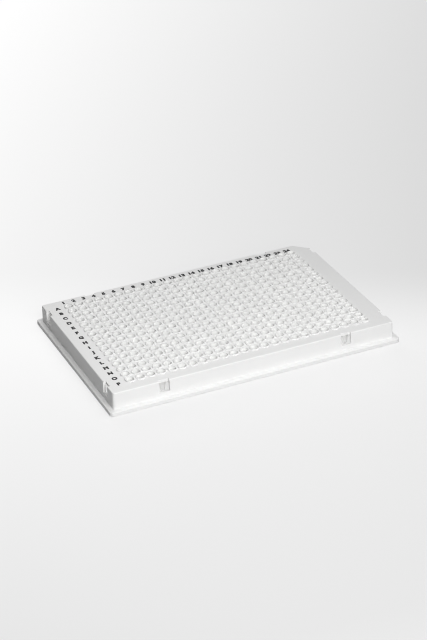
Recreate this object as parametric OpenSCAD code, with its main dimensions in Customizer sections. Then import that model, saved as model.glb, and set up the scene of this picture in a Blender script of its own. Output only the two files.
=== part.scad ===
// Well plate with 384 conical wells, moulded in one piece.
// Millimetres, +Z up. The origin is the centre of the foot, on the surface the plate stands on.
// Row A lies towards +Y and column 1 towards -X, so well A1 is at the upper left from above.

/* [Footprint] */
// Length of the foot, over the outside
foot_l = 127.76; // [124:0.02:160]
// Width of the foot, over the outside
foot_w = 85.48; // [84:0.02:110]
// Height of the upright outer face of the foot
foot_h = 1.75; // [1.2:0.05:2.6]
// Rise of the foot's top from its outer edge to the skirt
foot_rise = 0.3; // [0.1:0.05:0.8]
// Corner radius of the foot
foot_r = 1.6; // [1.2:0.1:5]
// How far the foot stands out beyond the skirt
foot_out = 1.95; // [1:0.05:2.4]

/* [Skirt and deck] */
// Height of the deck's top face
deck_z = 9.1; // [8.6:0.1:14]
// Thickness of the deck
deck_t = 1.2; // [0.9:0.05:1.8]
// Wall thickness of the skirt
skirt_t = 1.15; // [0.9:0.05:1.6]
// How far each wall leans in from the foot to the deck
skirt_draft = 0.2; // [0.05:0.01:0.4]
// Corner radius of the skirt outside
skirt_r = 1.2; // [1.1:0.1:4]
// Corner radius of the skirt inside
cavity_r = 0.8; // [0.7:0.1:3]
// Radius of the edge between deck and skirt
deck_edge_r = 0.45; // [0.2:0.05:0.7]
// Length of the cut at the corner beside A24, along each side
cut_corner = 6.4; // [3:0.1:8]
// Radius at the two ends of the cut
cut_corner_r = 2.2; // [1.9:0.1:2.6]

/* [Wells] */
// Number of columns
columns = 24; // [12:1:24]
// Number of rows
rows = 16; // [8:1:16]
// Distance between neighbouring wells
pitch = 4.5; // [4.1:0.05:4.5]
// Height of the well rims above the deck
rim_h = 0.5; // [0.2:0.05:0.8]
// Outer radius of a well rim
rim_r = 1.98; // [1.85:0.01:2]
// Radius of a well's mouth
mouth_r = 1.65; // [1.4:0.01:1.7]
// Depth of a well, from its rim to its tip inside
well_depth = 8.5; // [7:0.1:8.8]
// Depth of a well's upper bore, down to where the cone starts
bore_depth = 2.7; // [2.2:0.1:3.5]
// How much the upper bore narrows on the way down
bore_draft = 0.08; // [0.02:0.01:0.15]
// Radius of the round tip inside a well
tip_r = 0.66; // [0.5:0.01:0.8]
// Wall thickness of a well
well_t = 0.32; // [0.25:0.01:0.34]

/* [Windows in the skirt] */
// Width of a window
window_w = 4.5; // [3:0.1:6]
// Depth of a window below the deck's top face
window_h = 4.9; // [3:0.1:6]
// Distance from the plate's centre to a window in a long side
window_x = 40; // [20:0.5:44]
// Distance from the plate's centre to a window in an end
window_y = 32.3; // [15:0.1:32.5]

/* [Hidden] */

plastic = [0.95, 0.95, 0.94];
corner_fn = 32;
well_fn = 48;
shoulder_steps = 4;
tip_steps = 2;
tip_turn = 72;
edge_break = 0.12;
foot_edge = 0.2;
cavity_edge_r = 0.3;
window_clear = 0.08;
past = 1;

skirt_x = foot_l / 2 - foot_out;
skirt_y = foot_w / 2 - foot_out;
rim_z = deck_z + rim_h;
tip_z = rim_z - well_depth;
cone_z = rim_z - bore_depth;
cone_r = mouth_r - bore_draft;

// Points of a quarter circle that rounds the top edge of an upright post
function shoulder(r, top, edge) = [
    for (i = [0:shoulder_steps]) let (a = 90 * i / shoulder_steps)
        [r - edge + edge * cos(a), top - edge + edge * sin(a)]
];

// Points of a well's tip, from the axis up to its cone: a small flat, then a curve of radius r
function tip(r, low_z) = let (turn = tip_turn / (tip_steps + 0.5)) concat([[0, low_z]], [
    for (i = [0:tip_steps]) let (a = turn * (i + 0.5))
        [r * sin(a), low_z + r * (cos(turn / 2) - cos(a))]
]);

// Upright post with a leaning side and a rounded top edge, which shapes one corner of a wall
module post(r, bottom, top, edge) {
    rotate_extrude($fn = corner_fn)
        polygon(concat([[0, bottom], [r, bottom]], shoulder(r - skirt_draft, top, edge), [[0, top]]));
}

// Solid inside four walls whose corner beside A24 is cut off, set in from the skirt's outside by inset
module wall_block(inset, r, cut_r, bottom, top, edge) {
    x = skirt_x - inset;
    y = skirt_y - inset;
    cut = cut_corner - inset * (2 - sqrt(2)) + cut_r * (sqrt(2) - 1);
    hull() {
        for (side = [[-1, -1], [1, -1], [-1, 1]])
            translate([side[0] * (x - r), side[1] * (y - r), 0]) post(r, bottom, top, edge);
        for (at = [[x - cut, y - cut_r], [x - cut_r, y - cut]])
            translate([at[0], at[1], 0]) post(cut_r, bottom, top, edge);
    }
}

// Foot flange with an upright face, broken edges and a top that rises to the skirt
module foot() {
    crown_in = skirt_t / 2;
    hull() {
        for (sx = [-1, 1], sy = [-1, 1]) {
            translate([sx * (foot_l / 2 - foot_r), sy * (foot_w / 2 - foot_r), 0]) {
                cylinder(r = foot_r - foot_edge, h = foot_h, $fn = corner_fn);
                translate([0, 0, foot_edge])
                    cylinder(r = foot_r, h = foot_h - 2 * foot_edge, $fn = corner_fn);
            }
            translate([sx * (skirt_x - skirt_r), sy * (skirt_y - skirt_r), 0])
                cylinder(r = skirt_r - crown_in, h = foot_h + foot_rise, $fn = corner_fn);
        }
    }
}

// Openings through the skirt, which also set the deck's edge back
module windows() {
    z = deck_z - window_h;
    deep = skirt_t + skirt_draft + window_clear;
    for (side = [-1, 1], far = [0, 1]) {
        mirror([0, far, 0]) translate([side * window_x - window_w / 2, skirt_y - deep, z])
            cube([window_w, deep + past, window_h + past]);
        mirror([far, 0, 0]) translate([skirt_x - deep, side * window_y - window_w / 2, z])
            cube([deep + past, window_w, window_h + past]);
    }
}

// Skirt, foot and deck
module shell() {
    difference() {
        union() {
            wall_block(0, skirt_r, cut_corner_r, foot_h / 2, deck_z, deck_edge_r);
            foot();
        }
        wall_block(skirt_t, cavity_r, cavity_r, -past, deck_z - deck_t, cavity_edge_r);
        windows();
    }
}

// Outside of one well: round tip, cone, tube and raised rim
module well_outside() {
    r = cone_r + well_t;
    root_z = deck_z - deck_t / 2;
    rotate_extrude($fn = well_fn) polygon(concat(
        tip(tip_r + well_t, tip_z - well_t),
        [[r, cone_z], [r, root_z], [rim_r, root_z], [rim_r, rim_z - edge_break]],
        [[rim_r - edge_break, rim_z], [0, rim_z]]
    ));
}

// Inside of one well, up past its rim
module well_inside() {
    rotate_extrude($fn = well_fn) polygon(concat(
        tip(tip_r, tip_z),
        [[cone_r, cone_z], [mouth_r, rim_z], [mouth_r, rim_z + past], [0, rim_z + past]]
    ));
}

// Places a child at the centre of every well
module at_wells() {
    for (row = [0:rows - 1], column = [0:columns - 1])
        translate([(column - (columns - 1) / 2) * pitch, ((rows - 1) / 2 - row) * pitch, 0])
            children();
}

// The whole plate
module well_plate() {
    color(plastic) difference() {
        union() {
            shell();
            at_wells() well_outside();
        }
        at_wells() well_inside();
    }
}

well_plate();
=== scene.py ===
"""Visual model of a skirted well plate: white plastic, printed grid labels and a small studio.

The plate itself is the CAD node. This script dresses it, prints the row letters and column numbers
on its deck, and sets up the floor, the lamps and the camera. Lengths are in metres, apart from the
camera's lens, which is in mm. Angles are in degrees.
"""

import logging
import math
import string
from collections.abc import Iterable
from dataclasses import dataclass, field
from enum import Enum

import bpy
from mathutils import Matrix, Vector


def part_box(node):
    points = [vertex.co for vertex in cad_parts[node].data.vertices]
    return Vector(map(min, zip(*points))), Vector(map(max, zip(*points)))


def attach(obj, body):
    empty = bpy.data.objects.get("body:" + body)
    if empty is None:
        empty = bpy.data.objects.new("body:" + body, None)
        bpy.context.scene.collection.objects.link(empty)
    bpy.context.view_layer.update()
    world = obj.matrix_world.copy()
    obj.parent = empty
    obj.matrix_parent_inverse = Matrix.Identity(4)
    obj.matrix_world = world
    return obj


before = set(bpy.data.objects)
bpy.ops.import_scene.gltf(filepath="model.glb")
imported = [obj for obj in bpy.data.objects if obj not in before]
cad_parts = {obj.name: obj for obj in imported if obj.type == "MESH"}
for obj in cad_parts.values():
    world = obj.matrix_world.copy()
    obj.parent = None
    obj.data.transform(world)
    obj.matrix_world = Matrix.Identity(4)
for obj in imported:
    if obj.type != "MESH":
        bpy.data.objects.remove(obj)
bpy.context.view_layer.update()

MM = 0.001
ROOT_BODY = "root"
PLATE_NODE = "well_plate"
log = logging.getLogger("well_plate")

Colour = tuple[float, float, float]
WHITE: Colour = (1.0, 1.0, 1.0)


def deselect_all() -> None:
    """Clears the selection, so that an operator acts only on what is picked next."""
    bpy.ops.object.select_all(action="DESELECT")


def pick(obj: bpy.types.Object) -> None:
    """Makes one object the only selected one, and the active one."""
    deselect_all()
    obj.select_set(True)
    bpy.context.view_layer.objects.active = obj


def wear(obj: bpy.types.Object, material: bpy.types.Material) -> None:
    """Gives an object one material and nothing else."""
    obj.data.materials.clear()
    obj.data.materials.append(material)


def opaque(colour: Colour) -> tuple[float, float, float, float]:
    """Adds the full alpha that a colour socket needs."""
    return (*colour, 1.0)


class SurfaceGrain:
    """The fine texture that a mould leaves on plastic and its print, as one node group."""

    NAME = "Surface grain"
    TONE_DETAIL = 2.0
    GLOSS_DETAIL = 4.0
    GRAIN_DETAIL = 3.0
    NOISE_MIDDLE = 0.5

    def __init__(self) -> None:
        """Builds the group once, for every material to place with its own values."""
        self.tree = bpy.data.node_groups.new(self.NAME, "ShaderNodeTree")
        self._add_sockets()
        self._add_nodes()

    def _add_sockets(self) -> None:
        """Adds the group's named inputs and outputs."""
        face = self.tree.interface
        face.new_socket("Colour", in_out="INPUT", socket_type="NodeSocketColor")
        for name, value in (
            ("Tone Change", 0.02),
            ("Tone Scale", 60.0),
            ("Roughness", 0.4),
            ("Roughness Change", 0.08),
            ("Grain Scale", 6000.0),
        ):
            socket = face.new_socket(name, in_out="INPUT", socket_type="NodeSocketFloat")
            socket.default_value = value
        face.new_socket("Colour", in_out="OUTPUT", socket_type="NodeSocketColor")
        face.new_socket("Roughness", in_out="OUTPUT", socket_type="NodeSocketFloat")
        face.new_socket("Height", in_out="OUTPUT", socket_type="NodeSocketFloat")

    def _noise(self, scale_from: str, detail: float) -> bpy.types.Node:
        """Adds a noise texture in object space.

        Args:
            scale_from: Name of the group input that sets the noise's scale.
            detail: Number of finer octaves.

        Returns:
            The noise node.
        """
        nodes, links = self.tree.nodes, self.tree.links
        noise = nodes.new("ShaderNodeTexNoise")
        noise.inputs["Detail"].default_value = detail
        links.new(self.coords.outputs["Object"], noise.inputs["Vector"])
        links.new(self.group_in.outputs[scale_from], noise.inputs["Scale"])
        return noise

    def _around(
        self, centre: bpy.types.NodeSocket | float, swing: str, noise: bpy.types.Node
    ) -> bpy.types.NodeSocket:
        """Moves a value up and down with a noise.

        Args:
            centre: Socket or number that the value swings around.
            swing: Name of the group input with the full swing.
            noise: Noise node whose factor drives the swing.

        Returns:
            The socket with the moved value.
        """
        nodes, links = self.tree.nodes, self.tree.links
        level = nodes.new("ShaderNodeMath")
        level.operation = "SUBTRACT"
        level.inputs[1].default_value = self.NOISE_MIDDLE
        links.new(noise.outputs["Fac"], level.inputs[0])
        result = nodes.new("ShaderNodeMath")
        result.operation = "MULTIPLY_ADD"
        links.new(level.outputs[0], result.inputs[0])
        links.new(self.group_in.outputs[swing], result.inputs[1])
        if isinstance(centre, float):
            result.inputs[2].default_value = centre
        else:
            links.new(centre, result.inputs[2])
        return result.outputs[0]

    def _add_nodes(self) -> None:
        """Adds the group's nodes: a slow change of tone, a change of gloss and a fine height."""
        nodes, links = self.tree.nodes, self.tree.links
        self.group_in = nodes.new("NodeGroupInput")
        group_out = nodes.new("NodeGroupOutput")
        self.coords = nodes.new("ShaderNodeTexCoord")

        slow = self._noise("Tone Scale", self.TONE_DETAIL)
        tint = nodes.new("ShaderNodeVectorMath")
        tint.operation = "SCALE"
        links.new(self.group_in.outputs["Colour"], tint.inputs[0])
        links.new(self._around(1.0, "Tone Change", slow), tint.inputs["Scale"])
        links.new(tint.outputs[0], group_out.inputs["Colour"])

        gloss = self._noise("Tone Scale", self.GLOSS_DETAIL)
        rough = self._around(self.group_in.outputs["Roughness"], "Roughness Change", gloss)
        links.new(rough, group_out.inputs["Roughness"])

        fine = self._noise("Grain Scale", self.GRAIN_DETAIL)
        links.new(fine.outputs["Fac"], group_out.inputs["Height"])

    def place(
        self, tree: bpy.types.NodeTree, colour: Colour, values: dict[str, float]
    ) -> bpy.types.Node:
        """Places the group in a material.

        Args:
            tree: The material's node tree.
            colour: The finish's own colour.
            values: Values of the group's other inputs, by name.

        Returns:
            The group node.
        """
        node = tree.nodes.new("ShaderNodeGroup")
        node.node_tree = self.tree
        node.inputs["Colour"].default_value = opaque(colour)
        for name, value in values.items():
            node.inputs[name].default_value = value
        return node


@dataclass(frozen=True)
class GrainedFinish:
    """A moulded or printed finish: a colour and gloss that change a little, under a fine grain."""

    name: str
    colour: Colour
    roughness: float
    roughness_change: float
    tone_change: float
    tone_scale: float
    grain_scale: float
    grain_height: float
    specular: float = 0.5

    def make(self, grain: SurfaceGrain) -> bpy.types.Material:
        """Builds the material.

        Args:
            grain: The shared surface grain.

        Returns:
            The material.
        """
        material = bpy.data.materials.new(self.name)
        material.use_nodes = True
        tree = material.node_tree
        shader = tree.nodes["Principled BSDF"]
        shader.inputs["Specular IOR Level"].default_value = self.specular
        group = grain.place(
            tree,
            self.colour,
            {
                "Tone Change": self.tone_change,
                "Tone Scale": self.tone_scale,
                "Roughness": self.roughness,
                "Roughness Change": self.roughness_change,
                "Grain Scale": self.grain_scale,
            },
        )
        bump = tree.nodes.new("ShaderNodeBump")
        bump.inputs["Distance"].default_value = self.grain_height
        links = tree.links
        links.new(group.outputs["Colour"], shader.inputs["Base Color"])
        links.new(group.outputs["Roughness"], shader.inputs["Roughness"])
        links.new(group.outputs["Height"], bump.inputs["Height"])
        links.new(bump.outputs["Normal"], shader.inputs["Normal"])
        return material


class Finish(Enum):
    """The finishes on the plate."""

    PLATE_PLASTIC = GrainedFinish(
        name="satin white polypropylene",
        colour=(0.955, 0.955, 0.95),
        roughness=0.42,
        roughness_change=0.12,
        tone_change=0.03,
        tone_scale=70.0,
        grain_scale=5000.0,
        grain_height=0.012 * MM,
        specular=0.4,
    )
    GRID_INK = GrainedFinish(
        name="flat black print",
        colour=(0.012, 0.012, 0.013),
        roughness=0.55,
        roughness_change=0.15,
        tone_change=0.5,
        tone_scale=900.0,
        grain_scale=9000.0,
        grain_height=0.008 * MM,
    )


@dataclass
class WellPlate:
    """The moulded plate, whose shape is the CAD node."""

    node: str = PLATE_NODE

    def dress(self, grain: SurfaceGrain) -> bpy.types.Object:
        """Gives the CAD node its plastic.

        Args:
            grain: The shared surface grain.

        Returns:
            The CAD node's object.
        """
        obj = bpy.data.objects[self.node]
        wear(obj, Finish.PLATE_PLASTIC.value.make(grain))
        return obj


@dataclass(frozen=True)
class LabelLine:
    """One straight line of evenly spaced labels on the deck."""

    name: str
    labels: tuple[str, ...]
    middle: Vector
    step: float
    heading: float
    breadth: float

    def places(self) -> list[tuple[str, Vector]]:
        """Works out where the labels go.

        Returns:
            Each label with its place on the deck.
        """
        turn = math.radians(self.heading)
        along = Vector((math.cos(turn), math.sin(turn), 0.0)) * self.step
        first = self.middle - along * (len(self.labels) - 1) / 2
        return [(label, first + along * number) for number, label in enumerate(self.labels)]


@dataclass
class GridLabels:
    """Row letters and column numbers, printed in black on the deck.

    Their places are measured from the plate's own box: the insets from its left and back edges, and
    the shifts from its middle.
    """

    rows: int = 16
    columns: int = 24
    rim_height: float = 0.5 * MM
    letters_inset: float = 7.14 * MM
    letters_shift: float = -0.15 * MM
    letters_step: float = 4.587 * MM
    letters_breadth: float = 0.95
    numbers_inset: float = 5.14 * MM
    numbers_shift: float = -0.9 * MM
    numbers_step: float = 4.508 * MM
    numbers_lean: float = -0.65
    cap_height: float = 1.9 * MM
    ink_depth: float = 0.02 * MM
    sunk: float = 0.005 * MM
    stroke_gain: float = 0.45 * MM
    digit_spacing: float = 1.1
    cap_share: float = 0.7
    curve_steps: int = 4

    def lines(self) -> list[LabelLine]:
        """Lays out the two printed lines.

        Returns:
            The row letters, from back to front, and the column numbers, from left to right.
        """
        low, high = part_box(PLATE_NODE)
        middle = (low + high) / 2
        deck = high.z - self.rim_height
        return [
            LabelLine(
                name="row_letters",
                labels=tuple(string.ascii_uppercase[: self.rows]),
                middle=Vector((low.x + self.letters_inset, middle.y + self.letters_shift, deck)),
                step=self.letters_step,
                heading=-90.0,
                breadth=self.letters_breadth,
            ),
            LabelLine(
                name="column_numbers",
                labels=tuple(str(column + 1) for column in range(self.columns)),
                middle=Vector((middle.x + self.numbers_shift, high.y - self.numbers_inset, deck)),
                step=self.numbers_step,
                heading=self.numbers_lean,
                breadth=1.0,
            ),
        ]

    def _label(self, text: str, place: Vector, breadth: float) -> bpy.types.Object:
        """Prints one label as a thin mesh centred over a place on the deck.

        Args:
            text: The letter or number.
            place: Where it goes.
            breadth: Width as a share of the lettering's own.

        Returns:
            The label's mesh object.
        """
        deselect_all()
        bpy.ops.object.text_add(location=(0, 0, 0))
        label = bpy.context.object
        label.data.body = text
        label.data.size = self.cap_height / self.cap_share
        label.data.align_x = "CENTER"
        label.data.space_character = self.digit_spacing
        label.data.resolution_u = self.curve_steps
        label.data.bevel_depth = self.stroke_gain / 2
        label.data.bevel_resolution = 0
        pick(label)
        bpy.ops.object.convert(target="MESH")
        label = bpy.context.object
        low = Vector([min(v.co[i] for v in label.data.vertices) for i in range(3)])
        high = Vector([max(v.co[i] for v in label.data.vertices) for i in range(3)])
        flatten = self.ink_depth / self.stroke_gain
        rise = Vector((0.0, 0.0, self.ink_depth / 2 - self.sunk))
        label.data.transform(Matrix.Translation(-(low + high) / 2))
        label.data.transform(Matrix.Diagonal((breadth, 1.0, flatten, 1.0)))
        label.data.transform(Matrix.Translation(place + rise))
        return label

    def _print(self, line: LabelLine, material: bpy.types.Material) -> bpy.types.Object:
        """Prints one line of labels as one piece.

        Args:
            line: The line's labels and places.
            material: The ink.

        Returns:
            The printed piece.
        """
        labels = [self._label(text, place, line.breadth) for text, place in line.places()]
        deselect_all()
        for label in labels:
            label.select_set(True)
        bpy.context.view_layer.objects.active = labels[0]
        bpy.ops.object.join()
        piece = bpy.context.object
        piece.name = line.name
        piece.data.name = line.name
        wear(piece, material)
        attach(piece, ROOT_BODY)
        return piece

    def build(self, grain: SurfaceGrain) -> list[bpy.types.Object]:
        """Prints all the labels.

        Args:
            grain: The shared surface grain.

        Returns:
            The printed pieces.
        """
        ink = Finish.GRID_INK.value.make(grain)
        return [self._print(line, ink) for line in self.lines()]


@dataclass(frozen=True)
class Lamp:
    """A square soft lamp that points at the plate."""

    name: str
    azimuth: float
    elevation: float
    distance: float
    size: float
    power: float

    def build(self, target: Vector) -> bpy.types.Object:
        """Adds the lamp.

        Args:
            target: The point that the lamp faces.

        Returns:
            The lamp.
        """
        data = bpy.data.lights.new(self.name, "AREA")
        data.shape = "SQUARE"
        data.size = self.size
        data.energy = self.power
        lamp = bpy.data.objects.new(self.name, data)
        bpy.context.scene.collection.objects.link(lamp)
        away = direction(self.azimuth, self.elevation)
        lamp.location = target + away * self.distance
        lamp.rotation_euler = away.to_track_quat("Z", "Y").to_euler()
        return lamp


@dataclass(frozen=True)
class LightTable:
    """The lit patch of floor inside the plate's foot, which lights the hollow under the deck."""

    length: float = 116.0 * MM
    width: float = 74.0 * MM
    above_floor: float = 0.2 * MM
    level: float = 0.42
    colour: Colour = (0.55, 0.55, 0.55)
    roughness: float = 0.6

    def build(self) -> bpy.types.Object:
        """Adds the lit patch.

        Returns:
            The patch.
        """
        material = bpy.data.materials.new("light table")
        material.use_nodes = True
        shader = material.node_tree.nodes["Principled BSDF"]
        shader.inputs["Base Color"].default_value = opaque(self.colour)
        shader.inputs["Roughness"].default_value = self.roughness
        shader.inputs["Emission Color"].default_value = opaque(WHITE)
        shader.inputs["Emission Strength"].default_value = self.level
        material.cycles.emission_sampling = "NONE"
        deselect_all()
        bpy.ops.mesh.primitive_plane_add(size=1.0, location=(0, 0, 0))
        patch = bpy.context.object
        patch.name = material.name
        patch.data.transform(Matrix.Diagonal((self.length, self.width, 1.0, 1.0)))
        patch.data.transform(Matrix.Translation((0.0, 0.0, self.above_floor)))
        wear(patch, material)
        return patch


def direction(azimuth: float, elevation: float) -> Vector:
    """Gives the unit vector towards a place around the plate.

    Args:
        azimuth: Degrees from the front towards +X.
        elevation: Degrees above the floor.

    Returns:
        The unit vector.
    """
    turn, rise = math.radians(azimuth), math.radians(elevation)
    level = math.cos(rise)
    return Vector((math.sin(turn) * level, -math.cos(turn) * level, math.sin(rise)))


@dataclass(frozen=True)
class Fade:
    """A level that changes evenly across the floor, from its value at the origin."""

    level: float
    slope: tuple[float, float]

    def add_to(
        self, tree: bpy.types.NodeTree, place: bpy.types.NodeSocket
    ) -> bpy.types.NodeSocket:
        """Adds the fade's nodes.

        Args:
            tree: The floor material's node tree.
            place: The socket with the place on the floor.

        Returns:
            The socket with the level.
        """
        across = tree.nodes.new("ShaderNodeVectorMath")
        across.operation = "DOT_PRODUCT"
        across.inputs[1].default_value = (*self.slope, 0.0)
        total = tree.nodes.new("ShaderNodeMath")
        total.inputs[1].default_value = self.level
        tree.links.new(place, across.inputs[0])
        tree.links.new(across.outputs["Value"], total.inputs[0])
        return total.outputs[0]


@dataclass(frozen=True)
class Backdrop:
    """The floor's glow as the camera sees it, with painted light and shade: a near level (the
    table) and a far level, each brighter or darker across the flat floor, blended from one into the
    other.
    """

    # painted light and shade: the glow's near level (table) and far level, each sloping across the
    # flat floor
    table: Fade = Fade(level=0.738, slope=(0.095, 1.13))
    far_glow: Fade = Fade(level=0.62, slope=(-0.711, 0.603))
    depth: Fade = Fade(level=0.0, slope=(0.466, 0.885))
    near_glow_ends: float = -15.0 * MM
    far_glow_starts: float = 60.0 * MM
    darkest: float = 0.51
    brightest: float = 0.9

    def glow(self, tree: bpy.types.NodeTree) -> bpy.types.NodeSocket:
        """Adds the nodes of the backdrop's glow, which carries painted light and shade.

        Args:
            tree: The floor material's node tree.

        Returns:
            The socket with the glow.
        """
        place = tree.nodes.new("ShaderNodeTexCoord").outputs["Object"]
        far_share = tree.nodes.new("ShaderNodeMapRange")
        far_share.interpolation_type = "SMOOTHSTEP"
        far_share.inputs["From Min"].default_value = self.near_glow_ends
        far_share.inputs["From Max"].default_value = self.far_glow_starts
        # blends the painted near glow into the painted far glow
        level = tree.nodes.new("ShaderNodeMix")
        limits = tree.nodes.new("ShaderNodeClamp")
        limits.inputs["Min"].default_value = self.darkest
        limits.inputs["Max"].default_value = self.brightest
        links = tree.links
        links.new(self.depth.add_to(tree, place), far_share.inputs["Value"])
        links.new(far_share.outputs[0], level.inputs["Factor"])
        links.new(self.table.add_to(tree, place), level.inputs["A"])
        links.new(self.far_glow.add_to(tree, place), level.inputs["B"])
        links.new(level.outputs[0], limits.inputs["Value"])
        return limits.outputs[0]


@dataclass
class Studio:
    """Pale floor, soft lamps, the lit patch under the plate and the camera."""

    floor_half: float = 3.0
    floor_colour: Colour = (0.22, 0.22, 0.22)
    floor_shade: Colour = (0.48, 0.48, 0.48)
    floor_roughness: float = 0.6
    backdrop: Backdrop = Backdrop()
    light_bounces: int = 16
    filter_width: float = 1.1
    aim: Vector = field(default_factory=lambda: Vector((-2.81, -4.88, 9.1)) * MM)
    azimuth: float = -23.0
    elevation: float = 28.98
    roll: float = -2.35
    camera_distance: float = 848.0 * MM
    camera_reach: tuple[float, float] = (0.01, 20.0)
    lens_mm: float = 115.8
    lamps: tuple[Lamp, ...] = (
        Lamp("front softbox", azimuth=-8.0, elevation=33.0, distance=0.45, size=0.27, power=1.6),
        Lamp("rear softbox", azimuth=180.0, elevation=35.0, distance=1.0, size=0.6, power=3.0),
        Lamp("right softbox", azimuth=90.0, elevation=60.0, distance=1.0, size=0.6, power=2.55),
    )
    light_table: LightTable = LightTable()

    def _floor_material(self) -> bpy.types.Material:
        """Builds the floor's material, which glows for the camera and not for the plate.

        Returns:
            The material.
        """
        material = bpy.data.materials.new("pale floor")
        material.use_nodes = True
        tree = material.node_tree
        nodes, links = tree.nodes, tree.links
        shown = nodes["Principled BSDF"]
        shown.inputs["Base Color"].default_value = opaque(self.floor_colour)
        shown.inputs["Roughness"].default_value = self.floor_roughness
        shown.inputs["Emission Strength"].default_value = 1.0
        # the floor's emission carries the backdrop's painted light and shade
        links.new(self.backdrop.glow(tree), shown.inputs["Emission Color"])
        shade = nodes.new("ShaderNodeBsdfDiffuse")
        shade.inputs["Color"].default_value = opaque(self.floor_shade)
        path = nodes.new("ShaderNodeLightPath").outputs
        flags = [path[f"Is {ray} Ray"] for ray in ("Camera", "Glossy", "Transmission")]
        seen = self._any_of(tree, flags)
        mix = nodes.new("ShaderNodeMixShader")
        links.new(seen, mix.inputs[0])
        links.new(shade.outputs[0], mix.inputs[1])
        links.new(shown.outputs[0], mix.inputs[2])
        links.new(mix.outputs[0], nodes["Material Output"].inputs["Surface"])
        material.cycles.emission_sampling = "NONE"
        return material

    @staticmethod
    def _any_of(
        tree: bpy.types.NodeTree, sockets: list[bpy.types.NodeSocket]
    ) -> bpy.types.NodeSocket:
        """Joins flags into one.

        Args:
            tree: The node tree.
            sockets: The flags.

        Returns:
            The socket that is one where any flag is.
        """
        total = sockets[0]
        for socket in sockets[1:]:
            either = tree.nodes.new("ShaderNodeMath")
            either.operation = "MAXIMUM"
            tree.links.new(total, either.inputs[0])
            tree.links.new(socket, either.inputs[1])
            total = either.outputs[0]
        return total

    def _add_floor(self) -> bpy.types.Object:
        """Adds the floor.

        Returns:
            The floor.
        """
        deselect_all()
        bpy.ops.mesh.primitive_plane_add(size=2 * self.floor_half, location=(0, 0, 0))
        floor = bpy.context.object
        floor.name = "floor"
        wear(floor, self._floor_material())
        return floor

    def _add_world(self) -> None:
        """Adds the room, which gives no light of its own."""
        world = bpy.data.worlds.new("studio")
        bpy.context.scene.world = world
        world.use_nodes = True
        world.node_tree.nodes["Background"].inputs["Strength"].default_value = 0.0

    def _add_camera(self) -> bpy.types.Object:
        """Adds the camera and makes it the scene's own.

        Returns:
            The camera.
        """
        data = bpy.data.cameras.new("camera")
        data.lens = self.lens_mm
        data.clip_start, data.clip_end = self.camera_reach
        camera = bpy.data.objects.new("camera", data)
        bpy.context.scene.collection.objects.link(camera)
        away = direction(self.azimuth, self.elevation)
        camera.location = self.aim + away * self.camera_distance
        look = away.to_track_quat("Z", "Y").to_matrix().to_4x4()
        turned = look @ Matrix.Rotation(math.radians(self.roll), 4, "Z")
        camera.rotation_euler = turned.to_euler()
        bpy.context.scene.camera = camera
        return camera

    def build(self) -> list[bpy.types.Object]:
        """Sets up the studio.

        Returns:
            The floor, the lamps, the lit patch and the camera.
        """
        scene = bpy.context.scene
        scene.view_settings.view_transform = "Standard"
        scene.cycles.diffuse_bounces = self.light_bounces
        scene.cycles.max_bounces = self.light_bounces
        scene.cycles.use_light_tree = False
        scene.cycles.filter_width = self.filter_width
        self._add_world()
        floor = self._add_floor()
        lamps = [lamp.build(self.aim) for lamp in self.lamps]
        return [floor, *lamps, self.light_table.build(), self._add_camera()]


def main() -> None:
    """Builds the plate's looks and the studio, and reports each piece."""
    logging.basicConfig(level=logging.INFO, format="%(name)s: %(message)s")
    grain = SurfaceGrain()
    plate = WellPlate().dress(grain)
    log.info("dressed %s with %d faces", plate.name, len(plate.data.polygons))
    for piece in GridLabels().build(grain):
        log.info("printed %s with %d faces", piece.name, len(piece.data.polygons))
    for item in Studio().build():
        log.info("set up %s", item.name)


if __name__ == "__main__":
    main()
